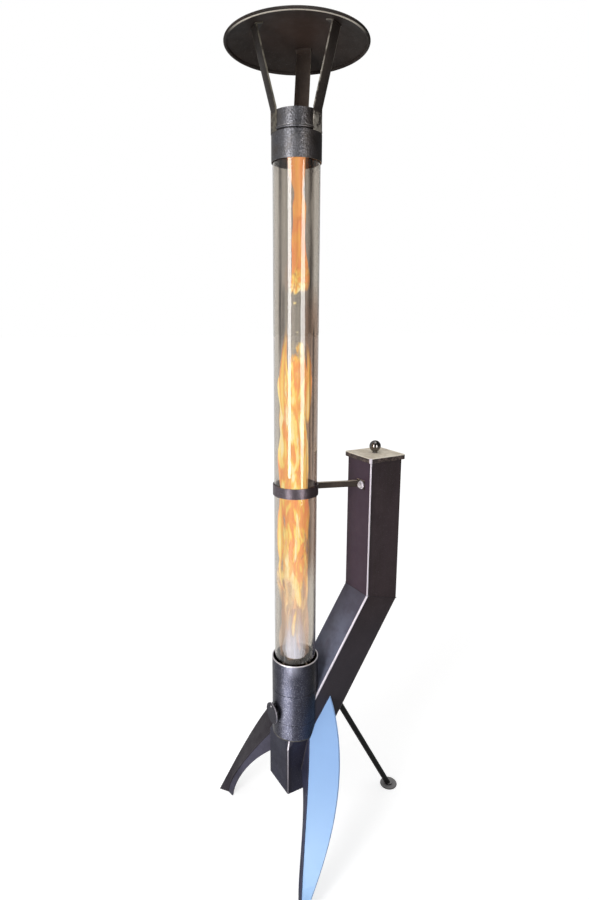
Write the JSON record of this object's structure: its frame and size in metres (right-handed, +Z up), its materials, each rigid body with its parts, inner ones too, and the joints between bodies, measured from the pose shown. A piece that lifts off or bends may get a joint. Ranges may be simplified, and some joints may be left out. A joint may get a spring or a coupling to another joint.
{
  "type": "outdoor pellet stove",
  "caption": "Free-standing outdoor wood-pellet stove with a gravity hopper, burner box, tall glass flame tube, rain cap and splayed legs.",
  "frame": {"origin": "on the floor, below the centre of the outline", "axes": "+Z up along the flame tube, +Y from the flame tube towards the hopper, +X towards the coloured front leg"},
  "size_m": [0.578, 0.61, 2.374],
  "materials": {
    "dark_coat": "fine-textured heat-proof coat, worn bright on edges",
    "brown_coat": "satin heat-proof coat",
    "hammered_coat": "hammered metallic coat",
    "cap_coat": "satin black-brown coat",
    "blue_coat": "smooth light blue coat",
    "worn_lid": "worn bronze-olive coat",
    "polished": "polished ball",
    "zinc": "bright zinc",
    "bare_steel": "sooted sheet steel",
    "heated_steel": "heat-tinted steel",
    "cast_grate": "sooted casting",
    "rope": "ceramic fibre",
    "glass": "clear heat-proof glass, faintly smoked"
  },
  "bodies": {
    "root": {"burner_box": "dark_coat", "box_floor": "bare_steel", "deck_plate": "bare_steel", "grate_ledges": "bare_steel", "burn_grate": "cast_grate", "fuel_chute": "dark_coat", "hopper_tube": "dark_coat", "burner_collar": "hammered_coat", "burner_nozzle": "heated_steel", "glass_seat_ring": "heated_steel", "glass_rope_seal": "rope", "port_tube": "dark_coat", "port_pivot_screw": "zinc", "glass_tube": "glass", "clamp_ring": "hammered_coat", "clamp_arm": "worn_lid", "clamp_bolt": "zinc", "clamp_nut": "zinc", "right_leg_outer_plate": "blue_coat", "right_leg_inner_plate": "dark_coat", "left_leg_outer_plate": "brown_coat", "left_leg_inner_plate": "dark_coat", "rear_leg_rod": "cap_coat", "rear_foot_pad": "cap_coat"},
    "lid": {"hopper_lid": "worn_lid", "lid_knob": "polished", "knob_nut": "zinc"},
    "port_lid": {"port_cover": "dark_coat"},
    "chimney": {"glass_top_gasket": "rope", "chimney_sleeve": "hammered_coat", "chimney_spigot": "hammered_coat", "cap_strap_right": "cap_coat", "cap_strap_rear": "cap_coat", "cap_strap_front": "cap_coat", "strap_rivets": "cap_coat", "rain_cap": "cap_coat", "cap_rivets": "cap_coat"},
    "drawer": {"ash_drawer": "bare_steel", "drawer_front": "dark_coat", "drawer_handle": "zinc"}
  },
  "joints": [
    {"name": "lid_lift", "type": "slide", "parent": "root", "child": "lid", "axis": [0, 0, 1], "range_m": [0, 0.08]},
    {"name": "port_cover_swing", "type": "hinge", "parent": "root", "child": "port_lid", "pos_m": [0, -0.2043, 0.494], "axis": [0, 1, 0], "range_deg": [-110, 110]},
    {"name": "chimney_lift", "type": "slide", "parent": "root", "child": "chimney", "axis": [0, 0, 1], "range_m": [0, 0.06]},
    {"name": "ash_drawer_slide", "type": "slide", "parent": "root", "child": "drawer", "axis": [0, 1, 0], "range_m": [0, 0.1]}
  ]
}
